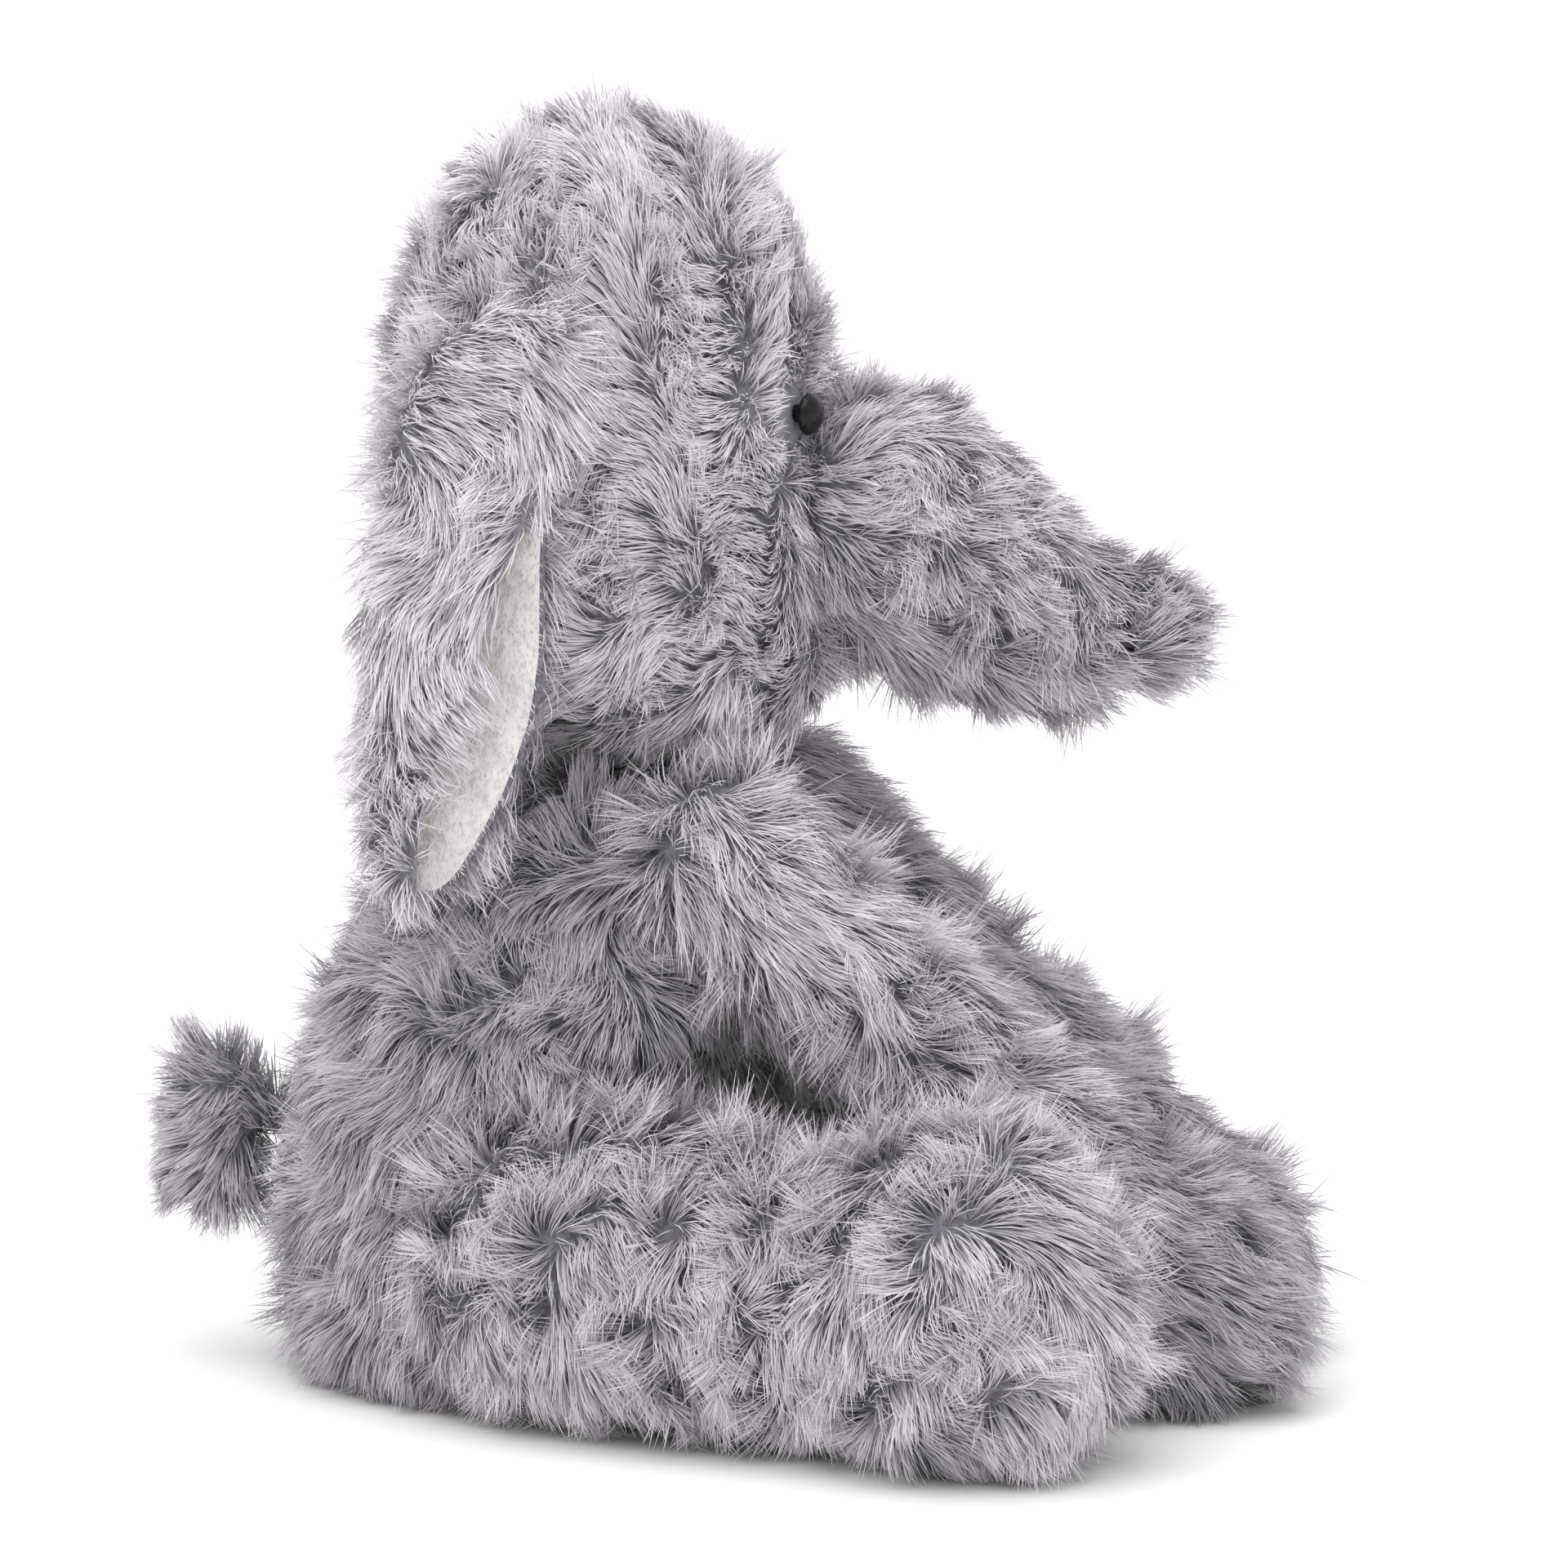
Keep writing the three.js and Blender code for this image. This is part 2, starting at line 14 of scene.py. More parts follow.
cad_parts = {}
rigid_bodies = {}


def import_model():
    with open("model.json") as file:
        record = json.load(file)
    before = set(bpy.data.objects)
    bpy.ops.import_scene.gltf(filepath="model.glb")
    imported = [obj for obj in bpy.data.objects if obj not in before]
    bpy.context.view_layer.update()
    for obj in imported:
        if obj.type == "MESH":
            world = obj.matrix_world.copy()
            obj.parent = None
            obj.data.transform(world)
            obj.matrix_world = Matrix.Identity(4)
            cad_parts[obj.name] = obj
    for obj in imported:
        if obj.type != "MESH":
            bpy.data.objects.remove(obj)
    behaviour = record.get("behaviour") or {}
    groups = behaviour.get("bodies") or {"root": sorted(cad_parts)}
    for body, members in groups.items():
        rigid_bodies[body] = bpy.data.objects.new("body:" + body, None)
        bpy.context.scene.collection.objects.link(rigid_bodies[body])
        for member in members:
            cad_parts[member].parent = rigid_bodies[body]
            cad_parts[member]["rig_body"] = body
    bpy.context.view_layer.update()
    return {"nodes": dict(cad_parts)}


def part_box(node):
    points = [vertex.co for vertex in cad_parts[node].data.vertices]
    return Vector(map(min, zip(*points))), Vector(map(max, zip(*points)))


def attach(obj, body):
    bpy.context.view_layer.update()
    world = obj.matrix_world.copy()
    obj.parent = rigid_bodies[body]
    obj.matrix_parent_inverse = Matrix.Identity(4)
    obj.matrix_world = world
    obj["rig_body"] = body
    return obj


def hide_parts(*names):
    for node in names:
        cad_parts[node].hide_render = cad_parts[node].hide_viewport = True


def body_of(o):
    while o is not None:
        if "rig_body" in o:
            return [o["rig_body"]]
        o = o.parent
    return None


MM = 0.001

# Camera: azimuth and elevation in degrees, the rest in metres and millimetres of lens.
CAMERA_AZIMUTH = -85
CAMERA_ELEVATION = 9
CAMERA_DISTANCE = 2.0
CAMERA_LENS = 225
CAMERA_TARGET = Vector((0.0006, -0.0487, 0.122))

# Light: a white sky and a broad soft sun from above and from the camera's side
SKY_STRENGTH = 1.0
SUN_STRENGTH = 1.5
SUN_PLACE = Vector((-0.38, 0.12, 1.0))
SUN_WIDTH = 60  # degrees
FLOOR_SIZE = 12

# Stuffed skins
SKIN_VOXEL = 4.0 * MM
SKIN_SMOOTHING = 3
FINE_SKINS = ("trunk_tip", "tail", "neck")  # these are small, so their voxels are too
FINE_VOXEL = 2.0 * MM
FINE_SMOOTHING = 1
SKIN_SHRINK = 1.0 * MM
SKIN_PRESSURE = 4
SKIN_FRAMES = 20
SKIN_SWELL = 3.0 * MM
SKIN_FLOOR_CLEAR = 0.1 * MM

# Strands of fur
FUR_MAP = "OFBake"  # all strands share this map: across is the tone, up is root to tip
FUR_STEPS = np.array([0.0, 0.34, 0.68, 1.0])
FUR_TAPER = np.array([0.85, 1.0, 0.8, 0.14])
TESTED_STEPS = (2, 3)  # a strand is cut if either of these is where it isn't wanted
TONE_COLUMNS = 48
TONE_MARGIN = 0.45  # how far each way a strand's map reaches in its column
MOST_STRANDS = 33000  # in one piece of fur
STRAND_LENGTHS = (0.8, 1.15)  # shares of the pile's length
GUIDE_LENGTHS = (0.9, 1.25)
STRAND_ROLL = 0.45  # radians
FLOOR_CLEAR = 0.4 * MM

# How the pile lies. Each wave is a length in millimetres, over which the drift changes.
BEND_ALONG = 0.26  # the middle of a strand, as shares of its length
BEND_LIFT = 0.75
REACH = 0.84  # the tip of a strand, as a share of its length
LEAST_LIFT = 0.18
MOST_LIFT = 0.85
LIFT_DRIFT = 0.12
LIFT_WAVE = 0.6  # as a share of the whorl
CALM_FLOW = 1.0  # where the flow is weaker than this, the pile stands up instead of parting
CALM_LIFT = 0.35
CALM_WAVE = 4
STRAY = 0.3  # how far strands stray from their neighbours
STRAY_WAVE = 2.5

# Locks
LOOSE_SHARE = 0.10  # the share of strands that join no lock
PULL_RANGE = (0.7, 1.25)
MIDDLE_PULL = 0.45
TIP_STRAY = 0.06
TONE_WAVE = 45
TONE_DRIFT = 0.10
LOCK_TONE_SPREAD = 0.13
STRAND_TONE_SPREAD = 0.14

# Where the pile is short or missing
BURIED = 3.0 * MM
CUTS = (0.65, 0.6, 0.55)  # each cut's share of the length left by the cut before
TRUNK_TOP_TRIM = 0.25
EAR_LINING_CLEAR = 4.0 * MM
OTHER_LINING_CLEAR = 4.0 * MM
LINING_SHOWN = 0.56  # the share of the ear's height, from its tip, where the lining shows
LINING_BACK = 0.7 * MM  # the lining's back lies closer to the cloth than this
LINING_FACING = 0.75  # the cosine to the lining's normal within which a point is over it
CLOTH_COVERED = 1.2 * MM  # the lining covers cloth that is closer to it than this
EYE_CLEAR = 5.8 * MM
EYE_AHEAD = 2.0 * MM  # the cleared ball lies this far in front of the eye
EYE_SHORT = 4.0 * MM  # the pile round an eye is shortest up to here
EYE_LONG = 16.0 * MM  # and grows to its full length over this much more
EYE_SHORTEST = 0.22

# Each stretch of fur has its own stream of random numbers.
FUR_SEED = 100
FUR_SEED_STEP = 10
EAR_SEED = 300
EAR_SEED_STEP = 20
VELVET_SEED = 5  # after the ear's own


@dataclass
class Pile:
    """How one stretch of fur grows, in millimetres and shares."""

    length: float = 13.5
    width: float = 0.28
    density: float = 2.5  # strands per square millimetre
    lock: float = 6.0  # between the middles of two locks
    gather: float = 0.32  # how far strands are drawn to their lock's tip
    swirl: float = 0.92  # how strongly whorls turn the flow
    whorl: float = 17.0
    stand: float = 0.44  # from lying flat, 0, to upright, 1
    tone: float = 0.50  # from dark, 0, to light, 1
    fade: float = 0.0  # painted light and shade: how much lighter it gets over one metre of height, lit from above


# Each part's tone is set to how light that part looks where it sits, lightest on the head and ears and
# darkest on the body: painted light and shade over one grey fur.
BODY_PILE = Pile(tone=0.18)
LEG_PILE = Pile(tone=0.58)
# The arm's and the head's fur get lighter higher up: painted light on the tops and painted shade on the
# hands and the cheeks.
ARM_PILE = Pile(tone=0.44, fade=6.0)
HEAD_PILE = Pile(length=10.5, stand=0.40, tone=1.0, fade=4.5)
TRUNK_PILE = Pile(length=12.0, swirl=0.8, tone=0.64)
TIP_PILE = Pile(length=12.0, swirl=0.7, tone=0.62)
EAR_PILE = Pile(length=11.5, stand=0.42, swirl=0.9, tone=1.0)
TAIL_PILE = Pile(length=10.5, density=2.6, gather=0.5, swirl=0.8, stand=0.55, tone=0.36)
VELVET_PILE = Pile(length=1.6, width=0.2, density=2.0, lock=1.5, gather=0.2, swirl=0.3, stand=0.6)

SIDES = ("left", "right")


# ---------------------------------------------------------------- camera, light and floor


def make_camera():
    """A long lens from the elephant's right side."""
    azimuth = math.radians(CAMERA_AZIMUTH)
    elevation = math.radians(CAMERA_ELEVATION)
    level = math.cos(elevation)
    back = Vector((math.sin(azimuth) * level, -math.cos(azimuth) * level, math.sin(elevation)))
    data = bpy.data.cameras.new("camera")
    data.lens = CAMERA_LENS
    data.sensor_width = 36
    data.clip_end = 50
    camera = bpy.data.objects.new("camera", data)
    camera.location = CAMERA_TARGET + back * CAMERA_DISTANCE
    camera.rotation_euler = back.to_track_quat("Z", "Y").to_euler()
    bpy.context.scene.collection.objects.link(camera)
    bpy.context.scene.camera = camera


def make_light():
    """A white studio."""
    world = bpy.data.worlds.new("studio")
    world.use_nodes = True
    sky = world.node_tree.nodes["Background"]
    sky.inputs["Color"].default_value = (1, 1, 1, 1)
    sky.inputs["Strength"].default_value = SKY_STRENGTH
    bpy.context.scene.world = world
    bpy.context.scene.view_settings.view_transform = "Standard"
    data = bpy.data.lights.new("sun", "SUN")
    data.energy = SUN_STRENGTH
    data.angle = math.radians(SUN_WIDTH)
    sun = bpy.data.objects.new("sun", data)
    sun.rotation_euler = SUN_PLACE.to_track_quat("Z", "Y").to_euler()
    bpy.context.scene.collection.objects.link(sun)


def make_floor():
    half = FLOOR_SIZE / 2
    corners = [(-half, -half, 0), (half, -half, 0), (half, half, 0), (-half, half, 0)]
    mesh = bpy.data.meshes.new("floor")
    mesh.from_pydata(corners, [], [(0, 1, 2, 3)])
    floor = bpy.data.objects.new("floor", mesh)
    bpy.context.scene.collection.objects.link(floor)
    mesh.materials.append(floor_material())


# ---------------------------------------------------------------- materials


def new_material(name):
    """A node material, with its tree and its Principled shader."""
    material = bpy.data.materials.new(name)
    material.use_nodes = True
    tree = material.node_tree
    return material, tree, tree.nodes["Principled BSDF"]


def ramp(tree, factor, stops):
    """A colour ramp over (place, (red, green, blue)) stops."""
    node = tree.nodes.new("ShaderNodeValToRGB")
    band = node.color_ramp
    while len(band.elements) < len(stops):
        band.elements.new(0.5)
    for element, (place, colour) in zip(band.elements, stops):
        element.position = place
        element.color = (*colour, 1)
    tree.links.new(factor, node.inputs["Fac"])
    return node.outputs["Color"]


def noise(tree, scale):
    """Fine unevenness in the object's own coordinates."""
    node = tree.nodes.new("ShaderNodeTexNoise")
    node.inputs["Scale"].default_value = scale
    node.inputs["Detail"].default_value = 3
    place = tree.nodes.new("ShaderNodeTexCoord")
    tree.links.new(place.outputs["Object"], node.inputs["Vector"])
    return node.outputs["Fac"]


def mixed(tree, factor, first, second):
    node = tree.nodes.new("ShaderNodeMix")
    node.data_type = "RGBA"
    tree.links.new(factor, node.inputs["Factor"])
    tree.links.new(first, node.inputs["A"])
    tree.links.new(second, node.inputs["B"])
    return node.outputs["Result"]


def bumped(tree, shader, height, strength, distance):
    node = tree.nodes.new("ShaderNodeBump")
    node.inputs["Strength"].default_value = strength
    node.inputs["Distance"].default_value = distance
    tree.links.new(height, node.inputs["Height"])
    tree.links.new(node.outputs["Normal"], shader.inputs["Normal"])


def fur_material(name, dark, light):
    """Pile fibre: dark and light are the root-to-tip stops of the darkest and the lightest strands. Their
    darkening towards the root is painted shade, the shadow deep in the pile.
    """
    material, tree, shader = new_material(name)
    place = tree.nodes.new("ShaderNodeUVMap")
    place.uv_map = FUR_MAP
    split = tree.nodes.new("ShaderNodeSeparateXYZ")
    tree.links.new(place.outputs["UV"], split.inputs["Vector"])
    low = ramp(tree, split.outputs["Y"], dark)
    high = ramp(tree, split.outputs["Y"], light)
    tree.links.new(mixed(tree, split.outputs["X"], low, high), shader.inputs["Base Color"])
    shader.inputs["Roughness"].default_value = 0.7
    shader.inputs["Specular IOR Level"].default_value = 0.25
    shader.inputs["Sheen Weight"].default_value = 0.3
    shader.inputs["Sheen Roughness"].default_value = 0.5
    return material


def grey_fur():
    # The dark stops at the roots are painted shade deep in the pile.
    dark = [(0.0, (0.14, 0.130, 0.151)), (0.45, (0.325, 0.303, 0.339)), (1.0, (0.515, 0.481, 0.524))]
    light = [(0.0, (0.27, 0.252, 0.28)), (0.45, (0.64, 0.60, 0.65)), (1.0, (0.90, 0.85, 0.90))]
    return fur_material("grey_fur", dark, light)


def velvet_fur():
    # The darker stops at the roots are painted shade deep in the short pile.
    dark = [(0.0, (0.55, 0.53, 0.53)), (1.0, (0.78, 0.755, 0.75))]
    light = [(0.0, (0.70, 0.675, 0.67)), (1.0, (0.90, 0.875, 0.865))]
    return fur_material("velvet_fur", dark, light)


def shaded_backing_material():
    """The knitted ground that the pile stands on, seen only in the partings. Its dark colour is painted
    shade, the shadow in the partings and under the pile.
    """
    material, tree, shader = new_material("fur_backing_painted_shade")
    # painted shade: dark grey standing in for the shadow at the foot of the pile
    stops = [(0.3, (0.16, 0.155, 0.18)), (0.7, (0.30, 0.29, 0.33))]
    tree.links.new(ramp(tree, noise(tree, 260), stops), shader.inputs["Base Color"])
    shader.inputs["Roughness"].default_value = 0.9
    bumped(tree, shader, noise(tree, 1400), 0.6, 0.4 * MM)
    return material


def velvet_material():
    material, tree, shader = new_material("velvet_lining")
    stops = [(0.3, (0.72, 0.69, 0.685)), (0.7, (0.84, 0.81, 0.80))]
    tree.links.new(ramp(tree, noise(tree, 180), stops), shader.inputs["Base Color"])
    shader.inputs["Roughness"].default_value = 0.85
    shader.inputs["Sheen Weight"].default_value = 0.4
    bumped(tree, shader, noise(tree, 2200), 0.35, 0.2 * MM)
    return material


def eye_material():
    material, tree, shader = new_material("eye_black")
    stops = [(0.35, (0.004, 0.004, 0.005)), (0.65, (0.010, 0.010, 0.012))]
    tree.links.new(ramp(tree, noise(tree, 300), stops), shader.inputs["Base Color"])
    shader.inputs["Roughness"].default_value = 0.16
    shader.inputs["Specular IOR Level"].default_value = 0.22
    bumped(tree, shader, noise(tree, 500), 0.03, 0.1 * MM)
    return material


def washer_material():
    material, tree, shader = new_material("washer_white")
    stops = [(0.35, (0.70, 0.70, 0.68)), (0.65, (0.80, 0.80, 0.78))]
    tree.links.new(ramp(tree, noise(tree, 400), stops), shader.inputs["Base Color"])
    shader.inputs["Roughness"].default_value = 0.45
    bumped(tree, shader, noise(tree, 1500), 0.1, 0.1 * MM)
    return material


def floor_material():
    material, tree, shader = new_material("floor_white")
    stops = [(0.3, (0.93, 0.93, 0.93)), (0.7, (0.95, 0.95, 0.95))]
    tree.links.new(ramp(tree, noise(tree, 4), stops), shader.inputs["Base Color"])
    shader.inputs["Roughness"].default_value = 0.9
    shader.inputs["Specular IOR Level"].default_value = 0.1
    return material


# ---------------------------------------------------------------- skins


def copied(name, nodes):
    """One new object with the meshes of the named solids."""
    points = []
    faces = []
    for node in nodes:
        mesh = frame["nodes"][node].data
        first = len(points)
        points += [v.co.copy() for v in mesh.vertices]
        faces += [[first + i for i in p.vertices] for p in mesh.polygons]
    mesh = bpy.data.meshes.new(name)
    mesh.from_pydata(points, [], faces)
    joined = bmesh.new()
    joined.from_mesh(mesh)
    bmesh.ops.remove_doubles(joined, verts=joined.verts, dist=0.01 * MM)
    joined.to_mesh(mesh)
    joined.free()
    obj = bpy.data.objects.new(name, mesh)
    bpy.context.scene.collection.objects.link(obj)
    return obj


def settle(obj):
    """Applies the object's modifiers."""
    view = bpy.context.evaluated_depsgraph_get()
    made = bpy.data.meshes.new_from_object(obj.evaluated_get(view))
    old = obj.data
    obj.modifiers.clear()
    obj.data = made
    made.name = obj.name
    bpy.data.meshes.remove(old)


def subdivided(obj, levels=1):
    step = obj.modifiers.new("subdivide", "SUBSURF")
    step.levels = levels
    step.render_levels = levels
    settle(obj)


def remeshed(obj, voxel, smoothing):
    step = obj.modifiers.new("remesh", "REMESH")
    step.mode = "VOXEL"
    step.voxel_size = voxel
    if smoothing:
        round_off = obj.modifiers.new("smooth", "SMOOTH")
        round_off.iterations = smoothing
        round_off.factor = 0.5
    settle(obj)


def coordinates(mesh):
    flat = np.empty(len(mesh.vertices) * 3)
    mesh.vertices.foreach_get("co", flat)
    return flat.reshape(-1, 3)


def vertex_normals(mesh):
    flat = np.empty(len(mesh.vertices) * 3)
    mesh.vertex_normals.foreach_get("vector", flat)
    return flat.reshape(-1, 3)


def put_coordinates(mesh, points):
    mesh.vertices.foreach_set("co", points.ravel())
    mesh.update()


def swell(skins):
    """The stuffing presses each cloth skin out from a slightly smaller shape, no further than the cap."""
    starts = {}
    for skin in skins:
        starts[skin] = coordinates(skin.data) - vertex_normals(skin.data) * SKIN_SHRINK
        put_coordinates(skin.data, starts[skin])
    for skin in skins:
        cloth = skin.modifiers.new("cloth", "CLOTH")
        cloth.settings.use_pressure = True
        cloth.settings.uniform_pressure_force = SKIN_PRESSURE
        cloth.settings.effector_weights.gravity = 0
        cloth.point_cache.frame_start = 1
        cloth.point_cache.frame_end = SKIN_FRAMES
    scene = bpy.context.scene
    for number in range(1, SKIN_FRAMES + 1):
        scene.frame_set(number)
    view = bpy.context.evaluated_depsgraph_get()
    for skin in skins:
        moved = coordinates(skin.evaluated_get(view).data) - starts[skin]
        far = np.linalg.norm(moved, axis=1, keepdims=True)
        moved *= np.minimum(1, SKIN_SWELL / np.maximum(far, 1e-9))
        skin.modifiers.clear()
        put_coordinates(skin.data, starts[skin] + moved)
    scene.frame_set(1)


def lifted_to_floor(obj):
    points = coordinates(obj.data)
    points[:, 2] = np.maximum(points[:, 2], SKIN_FLOOR_CLEAR)
    put_coordinates(obj.data, points)


def dressed(obj, body, material, nodes):
    """Rides the piece, gives it its finish, and lets it stand for its solids."""
    obj.data.materials.clear()
    obj.data.materials.append(material)
    obj.data.shade_smooth()
    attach(obj, body)
    if nodes:
        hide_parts(*nodes)


# ---------------------------------------------------------------- fur


def waves(points, wavelength, seed, count=8):
    """A smooth field of vectors, made of plane waves in random directions."""
    rng = np.random.default_rng(seed)
    total = np.zeros_like(points)
    for _ in range(count):
        push = rng.normal(size=3)
        way = rng.normal(size=3)
        way *= 2 * math.pi / (wavelength * MM * rng.uniform(0.7, 1.5) * np.linalg.norm(way))
        total += np.sin(points @ way + rng.uniform(0, 2 * math.pi))[:, None] * push
    return total / math.sqrt(count)


def unit(vectors):
    return vectors / np.maximum(np.linalg.norm(vectors, axis=1, keepdims=True), 1e-9)


def along(*direction):
    """A flow in one direction everywhere."""
    return lambda points: np.tile(unit(np.array([direction], float)), (len(points), 1))


def away_from(*place):
    """A flow that spreads from one place, in metres."""
    return lambda points: unit(points - np.array(place))


def scattered(mesh, density, rng):
    """Random places on the mesh, density per square millimetre, with their normals."""
    mesh.calc_loop_triangles()
    corners = np.empty(len(mesh.loop_triangles) * 3, int)
    mesh.loop_triangles.foreach_get("vertices", corners)
    corners = corners.reshape(-1, 3)
    points = coordinates(mesh)
    normals = vertex_normals(mesh)
    a, b, c = (points[corners[:, i]] for i in range(3))
    areas = np.linalg.norm(np.cross(b - a, c - a), axis=1) / 2
    count = int(areas.sum() / MM**2 * density)
    chosen = rng.choice(len(areas), size=count, p=areas / areas.sum())
    first = np.sqrt(rng.random(count))
    second = rng.random(count)
    shares = np.stack([1 - first, first * (1 - second), first * second], axis=1)
    places = np.einsum("ij,ijk->ik", shares, points[corners[chosen]])
    facing = unit(np.einsum("ij,ijk->ik", shares, normals[corners[chosen]]))
    return places, facing


def tree_of(obj):
    mesh = obj.data
    return BVHTree.FromPolygons([v.co for v in mesh.vertices], [p.vertices for p in mesh.polygons])


def not_buried(places, shapes):
    """True for each place that isn't well inside one of the closed shapes."""
    keep = np.ones(len(places), bool)
    for shape in shapes:
        tree = tree_of(shape)
        points = coordinates(shape.data)
        near = np.all((places > points.min(axis=0)) & (places < points.max(axis=0)), axis=1)
        for i in np.flatnonzero(keep & near):
            place = Vector(places[i])
            found, normal, _, far = tree.find_nearest(place)
            keep[i] = far < BURIED or (place - found).dot(normal) > 0
    return keep


def further_than(places, tree, distance):
    return np.array([tree.find_nearest(Vector(p))[3] > distance for p in places], bool)


def bared_face(lining, cloth):
    """The faces of an ear's lining that don't lie against its cloth, as a tree."""
    tree = tree_of(cloth)
    mesh = lining.data
    faces = [p.vertices for p in mesh.polygons if tree.find_nearest(p.center)[3] > LINING_BACK]
    return BVHTree.FromPolygons([v.co for v in mesh.vertices], faces)


def over_lining(points, lining, tree, clear):
    """True for each point that stands close over the bared face of an ear's lining."""
    shape = coordinates(lining.data)
    low = shape.min(axis=0) - clear
    high = shape.max(axis=0) + clear
    high[2] = low[2] + LINING_SHOWN * (high[2] - low[2])
    covered = np.zeros(len(points), bool)
    for i in np.flatnonzero(np.all((points > low) & (points < high), axis=1)):
        point = Vector(points[i])
        found, normal, _, far = tree.find_nearest(point)
        covered[i] = far < clear and (point - found).dot(normal) > LINING_FACING * far
    return covered


def in_front_of_eye(points):
    """True for each point that would cover an eye."""
    covered = np.zeros(len(points), bool)
    for side in SIDES:
        eye = middle_of(f"eye_{side}")
        ahead = eye - middle_of(f"eye_washer_{side}")
        ball = eye + EYE_AHEAD * ahead / np.linalg.norm(ahead)
        covered |= np.linalg.norm(points - ball, axis=1) < EYE_CLEAR
    return covered


def laid_over(places, normals, lengths, flow, pile, seed):
    """The middle and the tip of a strand at each place, lying along the swirling flow."""
    way = flow(places) + pile.swirl * waves(places, pile.whorl, seed)
    way -= normals * np.sum(way * normals, axis=1, keepdims=True)
    calm = np.clip(1 - np.linalg.norm(way, axis=1, keepdims=True) / CALM_FLOW, 0, 1)
    way = way + calm * waves(places, CALM_WAVE, seed + 3)
    way = unit(way + STRAY * waves(places, STRAY_WAVE, seed + 4))
    drift = waves(places, pile.whorl * LIFT_WAVE, seed + 1)[:, :1]
    lift = np.clip(pile.stand + LIFT_DRIFT * drift + CALM_LIFT * calm, LEAST_LIFT, MOST_LIFT)
    middle = places + lengths * (BEND_ALONG * way + (lift * BEND_LIFT) * normals)
    tip = places + lengths * (REACH * way * np.sqrt(1 - lift**2) + lift * normals)
    return middle, tip


def gathered(places, middle, tip, guides, guide_middle, guide_tip, pile, rng):
    """Draws each strand towards the tip of its lock."""
    tree = KDTree(len(guides))
    for i, guide in enumerate(guides):
        tree.insert(guide, i)
    tree.balance()
    lock = np.array([tree.find(place)[1] for place in places], int)
    loose = rng.random(len(places)) < LOOSE_SHARE
    pull = np.where(loose, 0.0, pile.gather * rng.uniform(*PULL_RANGE, len(places)))[:, None]
    stray = rng.normal(size=places.shape) * pile.length * MM * TIP_STRAY
    middle = middle + (guide_middle[lock] - middle) * pull * MIDDLE_PULL
    tip = tip + (guide_tip[lock] - tip) * pull + stray
    return middle, tip, lock


def ribbon_mesh(name, left, right, tone):
    """A mesh of flat tapered strands. left and right are (strand, step) points, and tone is from 0 to 1."""
    count, steps = left.shape[:2]
    points = np.stack([left, right], axis=2).reshape(-1, 3)
    points[:, 2] = np.maximum(points[:, 2], FLOOR_CLEAR)
    first = (np.arange(count)[:, None] * steps + np.arange(steps - 1)) * 2
    faces = np.stack([first, first + 1, first + 3, first + 2], axis=-1).reshape(-1, 4)
    mesh = bpy.data.meshes.new(name)
    mesh.vertices.add(len(points))
    mesh.vertices.foreach_set("co", points.ravel())
    mesh.loops.add(faces.size)
    mesh.loops.foreach_set("vertex_index", faces.ravel())
    mesh.polygons.add(len(faces))
    mesh.polygons.foreach_set("loop_start", np.arange(len(faces)) * 4)
    mesh.update(calc_edges=True)
    column = (np.floor(np.clip(tone, 0, 0.999) * TONE_COLUMNS) + 0.5) / TONE_COLUMNS
    half = TONE_MARGIN / TONE_COLUMNS
    across = column[:, None, None] + half * np.array([-1, 1, 1, -1])
    across = np.broadcast_to(across, (count, steps - 1, 4))
    low, high = FUR_STEPS[:-1], FUR_STEPS[1:]
    up = np.broadcast_to(np.stack([low, low, high, high], axis=1), (count, steps - 1, 4))
    layer = mesh.uv_layers.new(name=FUR_MAP)
    layer.uv.foreach_set("vector", np.stack([across, up], axis=-1).ravel())
    return mesh


def cut_short(places, path, unwanted):
    """Cuts strands back until no test catches them, in place, and says which strands then remain."""
    left = np.ones(len(places), bool)
    for share in (*CUTS, 0):
        caught = np.zeros(len(places), bool)
        for test in unwanted:
            for step in TESTED_STEPS:
                open_ones = np.flatnonzero(~caught & left)
                caught[open_ones] = test(path[open_ones, step])
        if share:
            path[caught] = places[caught, None] + share * (path[caught] - places[caught, None])
        else:
            left &= ~caught
    return left


def hanging(places, normals):
    """The trunk's share of the length: short on top and long below."""
    return 1.0 - TRUNK_TOP_TRIM * normals[:, 2]


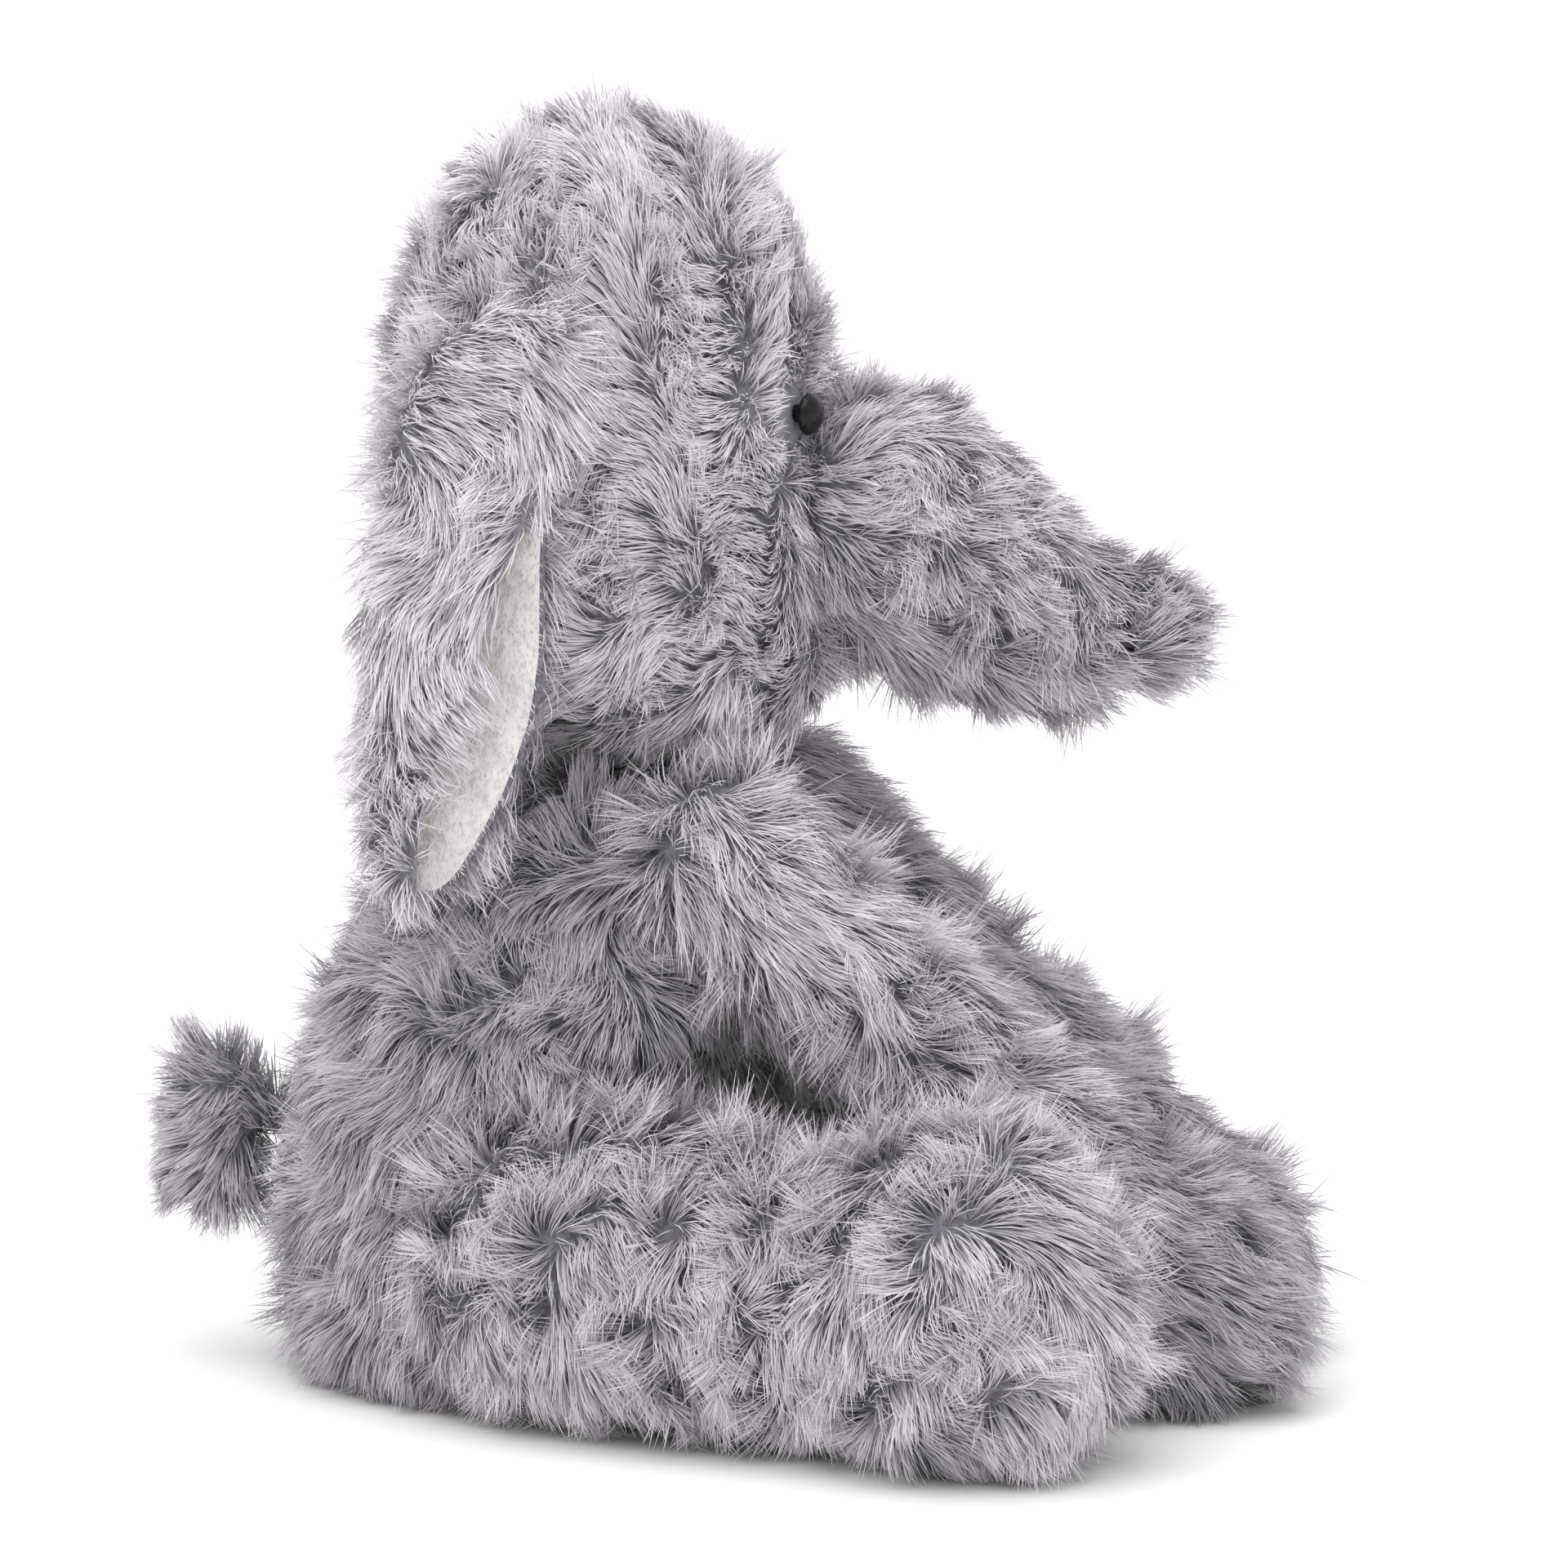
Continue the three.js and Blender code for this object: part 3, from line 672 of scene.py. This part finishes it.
def grown(name, skin, body, pile, flow, seed, material,
          buried_in=(), bare=None, trimmed=None, unwanted=()):
    """Fur on a skin. bare says which places have none, trimmed gives each place's share of the length, and
    unwanted are tests of the strands' points: a strand with one such point is cut short, or left out."""
    rng = np.random.default_rng(seed)
    places, normals = scattered(skin.data, pile.density, rng)
    keep = not_buried(places, buried_in)
    if bare:
        keep &= ~bare(places)
    places, normals = places[keep], normals[keep]
    guides, guide_normals = scattered(skin.data, 1 / pile.lock**2, rng)
    share = trimmed(places, normals) if trimmed else np.ones(len(places))
    guide_share = trimmed(guides, guide_normals) if trimmed else np.ones(len(guides))
    lengths = (pile.length * MM * share * rng.uniform(*STRAND_LENGTHS, len(places)))[:, None]
    guide_lengths = (pile.length * MM * guide_share * rng.uniform(*GUIDE_LENGTHS, len(guides)))[:, None]
    middle, tip = laid_over(places, normals, lengths, flow, pile, seed)
    guide_middle, guide_tip = laid_over(guides, guide_normals, guide_lengths, flow, pile, seed)
    middle, tip, lock = gathered(places, middle, tip, guides, guide_middle, guide_tip, pile, rng)
    tone = lock_tones(guides, pile, seed, rng)[lock]
    tone = tone + rng.normal(size=len(places)) * STRAND_TONE_SPREAD
    t = FUR_STEPS[None, :, None]
    path = (1 - t) ** 2 * places[:, None] + 2 * t * (1 - t) * middle[:, None] + t**2 * tip[:, None]
    roll = rng.normal(size=len(places)) * STRAND_ROLL
    ahead = unit(tip - places)
    side = unit(np.cross(ahead, normals))
    upward = np.cross(side, ahead)
    side = side * np.cos(roll)[:, None] + upward * np.sin(roll)[:, None]
    half = side[:, None] * (FUR_TAPER * pile.width * MM / 2)[None, :, None]
    order = np.flatnonzero(cut_short(places, path, unwanted))
    order = order[np.argsort(places[order, 2], kind="stable")]
    patches = np.array_split(order, max(1, math.ceil(len(order) / MOST_STRANDS)))
    for number, patch in enumerate(patches, 1):
        label = name if len(patches) == 1 else f"{name}_{number}"
        mesh = ribbon_mesh(label, (path - half)[patch], (path + half)[patch], tone[patch])
        obj = bpy.data.objects.new(label, mesh)
        bpy.context.scene.collection.objects.link(obj)
        dressed(obj, body, material, [])


def lock_tones(guides, pile, seed, rng):
    """Each lock's own tone, in soft drifts of lighter and darker fur, made lighter higher up by the pile's
    painted light from above.
    """
    drift = waves(guides, TONE_WAVE, seed + 2)[:, 0]
    height = guides[:, 2] - guides[:, 2].mean()
    spread = LOCK_TONE_SPREAD * rng.normal(size=len(guides))
    return pile.tone + pile.fade * height + TONE_DRIFT * drift + spread


# ---------------------------------------------------------------- the elephant


def make_skins(materials):
    """Every stuffed part's cloth skin, by name. The plan gives its body, its solids and how full it is."""
    plan = {
        "body": ("torso", ["body_side_left", "body_side_right", "belly_panel", "seat_panel",
                           "body_stuffing", "pellet_bag"], 0.8),
        "neck": ("neck", ["neck_stuffing"], 0.8),
        "head": ("head", ["head_side_left", "head_side_right", "head_gusset", "head_stuffing"], 0.85),
        "trunk": ("trunk", ["trunk_cover_left", "trunk_cover_right", "trunk_stuffing"], 0.8),
        "trunk_tip": ("trunk_tip", ["trunk_tip_cover", "trunk_tip_stuffing"], 0.8),
        "tail": ("tail", ["tail_stem", "tail_tuft"], 0.6),
    }
    for side in SIDES:
        arm = [f"arm_{piece}_{side}" for piece in ("outer", "inner", "stuffing")]
        leg = [f"leg_{piece}_{side}" for piece in ("outer", "inner", "stuffing")]
        foot = [f"foot_{piece}_{side}" for piece in ("cover", "sole", "stuffing")]
        plan[f"arm_{side}"] = (f"arm_{side}", arm, 0.75)
        plan[f"leg_{side}"] = (f"leg_{side}", leg + foot, 0.75)
    skins = {}
    for name, (_, nodes, _) in plan.items():
        skins[name] = copied(f"{name}_plush", nodes)
        if name in FINE_SKINS:
            remeshed(skins[name], FINE_VOXEL, FINE_SMOOTHING)
        else:
            remeshed(skins[name], SKIN_VOXEL, SKIN_SMOOTHING)
    swell(list(skins.values()))
    for name, (body, nodes, fill) in plan.items():
        skin = skins[name]
        subdivided(skin)
        lifted_to_floor(skin)
        dressed(skin, body, materials["backing"], nodes)
    return skins


def middle_of(node):
    low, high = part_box(node)
    return (np.array(low) + np.array(high)) / 2


def eye_clearing(places, _):
    """The fur's share of its length: cut short round the eyes."""
    share = np.ones(len(places))
    for side in SIDES:
        far = np.linalg.norm(places - middle_of(f"eye_{side}"), axis=1)
        share = np.minimum(share, np.clip((far - EYE_SHORT) / EYE_LONG, EYE_SHORTEST, 1))
    return share


def make_fur(skins, linings, materials):
    """The long pile on every stuffed part."""
    over_an_ear = [
        lambda points, ear=ear: over_lining(points, *ear, OTHER_LINING_CLEAR) for ear in linings
    ]
    trunk_root = middle_of("trunk_stuffing") + np.array([0, 20 * MM, 0])
    tail_root = middle_of("tail_stem")
    flows = {
        "body": (BODY_PILE, along(0, 0.2, -1),
                 ["neck", "head", "arm_left", "arm_right", "leg_left", "leg_right"]),
        "head": (HEAD_PILE, away_from(*trunk_root), ["neck", "trunk", "body"]),
        "trunk": (TRUNK_PILE, along(0, -1, -0.5), ["head", "trunk_tip"]),
        "trunk_tip": (TIP_PILE, along(0, -1, 0.2), ["trunk"]),
        "tail": (TAIL_PILE, away_from(*tail_root), ["body"]),
    }
    for side in SIDES:
        flows[f"arm_{side}"] = (ARM_PILE, along(0, -1, -1), ["body"])
        flows[f"leg_{side}"] = (LEG_PILE, along(0, -0.6, -1), ["body"])
    trims = {"head": eye_clearing, "trunk": hanging, "trunk_tip": hanging}
    for number, (name, (pile, flow, near)) in enumerate(flows.items()):
        skin = skins[name]
        unwanted = list(over_an_ear) if name in ("head", "body", "arm_left", "arm_right") else []
        if name in ("head", "trunk"):
            unwanted.append(in_front_of_eye)
        grown(f"{name}_fur", skin, body_of(skin)[0], pile, flow,
              FUR_SEED + FUR_SEED_STEP * number, materials["fur"],
              buried_in=[skins[other] for other in near], trimmed=trims.get(name), unwanted=unwanted)


def ear_flow(low, high):
    """Forwards over the cheek at the top of the ear, which makes its fringe, and down towards its tip."""
    def flow(places):
        up = np.clip((places[:, 2] - low) / (high - low), 0, 1)
        return unit(np.stack([np.zeros(len(up)), 0.35 - 1.5 * up, np.full(len(up), -1.0)], axis=1))
    return flow


def make_ear(side, materials, seed):
    """A folded sheet of long fur cloth, lined with velvet."""
    body = f"ear_{side}"
    outer = copied(f"ear_cloth_{side}", [f"ear_fur_{side}"])
    lining = copied(f"ear_velvet_{side}", [f"ear_lining_{side}"])
    for sheet in (outer, lining):
        subdivided(sheet, 2)
    dressed(outer, body, materials["backing"], [f"ear_fur_{side}"])
    dressed(lining, body, materials["velvet"], [f"ear_lining_{side}"])
    inside = tree_of(lining)
    bared = bared_face(lining, outer)
    low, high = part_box(f"ear_fur_{side}")
    grown(f"ear_fur_pile_{side}", outer, body, EAR_PILE, ear_flow(low[2], high[2]), seed,
          materials["fur"],
          bare=lambda places: ~further_than(places, inside, CLOTH_COVERED),
          unwanted=[lambda points: over_lining(points, lining, bared, EAR_LINING_CLEAR)])
    cloth = tree_of(outer)
    grown(f"ear_velvet_pile_{side}", lining, body, VELVET_PILE, along(0, -0.3, -1), seed + VELVET_SEED,
          materials["velvet_fur"],
          bare=lambda places: ~further_than(places, cloth, LINING_BACK))
    return lining, bared


def make_eyes(materials):
    """The eyes are smooth domes in their solids' place. The washers are the solids, newly finished."""
    for side in SIDES:
        dome = copied(f"eye_dome_{side}", [f"eye_{side}"])
        subdivided(dome, 2)
        dressed(dome, "head", materials["eye"], [f"eye_{side}"])
        for place in frame["nodes"][f"eye_washer_{side}"].material_slots:
            place.link = "OBJECT"
            place.material = materials["washer"]


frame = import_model()

make_camera()
make_light()
make_floor()
MATERIALS = {
    "fur": grey_fur(),
    "velvet_fur": velvet_fur(),
    # the skins' backing is dark with painted shade
    "backing": shaded_backing_material(),
    "velvet": velvet_material(),
    "eye": eye_material(),
    "washer": washer_material(),
}
SKINS = make_skins(MATERIALS)
LININGS = [
    make_ear(side, MATERIALS, EAR_SEED + EAR_SEED_STEP * number) for number, side in enumerate(SIDES)
]
make_fur(SKINS, LININGS, MATERIALS)
make_eyes(MATERIALS)
